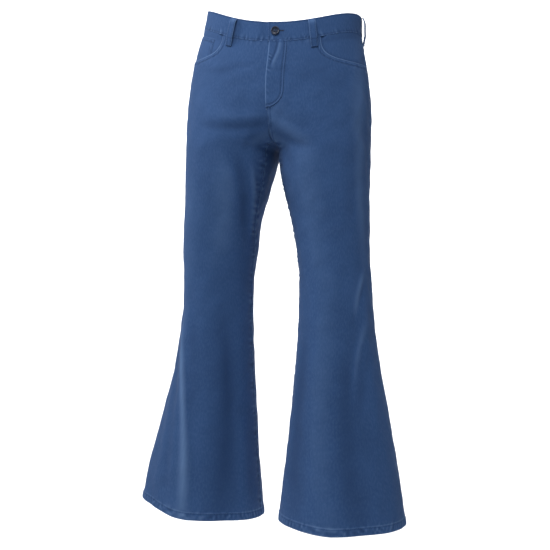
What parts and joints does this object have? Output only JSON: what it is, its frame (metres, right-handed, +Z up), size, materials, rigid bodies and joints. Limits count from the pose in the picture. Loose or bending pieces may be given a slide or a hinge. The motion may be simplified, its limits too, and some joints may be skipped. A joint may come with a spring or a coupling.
{
  "type": "bell-bottom trousers",
  "caption": "Flared twill trousers, filled out as worn: lapped waistband with button and belt loops, fly placket, curved front pockets, yoked back with patch pockets.",
  "frame": {"origin": "the middle of the open waist, level with the top of the waistband at the side seams", "axes": "+Z up, the front faces -Y, the wearer's left is +X"},
  "size_m": [0.583, 0.2818, 1.0787],
  "materials": {
    "blue_twill": "matte garment-dyed cotton twill",
    "button_resin": "semi-gloss dark blue resin"
  },
  "bodies": {
    "root": {"back_panel_left": "blue_twill", "back_panel_right": "blue_twill", "back_pocket_left": "blue_twill", "back_pocket_right": "blue_twill", "back_yoke_left": "blue_twill", "back_yoke_right": "blue_twill", "belt_loop_back": "blue_twill", "belt_loop_front_left": "blue_twill", "belt_loop_front_right": "blue_twill", "belt_loop_side_left": "blue_twill", "belt_loop_side_right": "blue_twill", "coin_pocket": "blue_twill", "fly_placket": "blue_twill", "front_panel_left": "blue_twill", "front_panel_right": "blue_twill", "pocket_facing_left": "blue_twill", "pocket_facing_right": "blue_twill", "waistband": "blue_twill", "waist_button": "button_resin"}
  },
  "joints": []
}
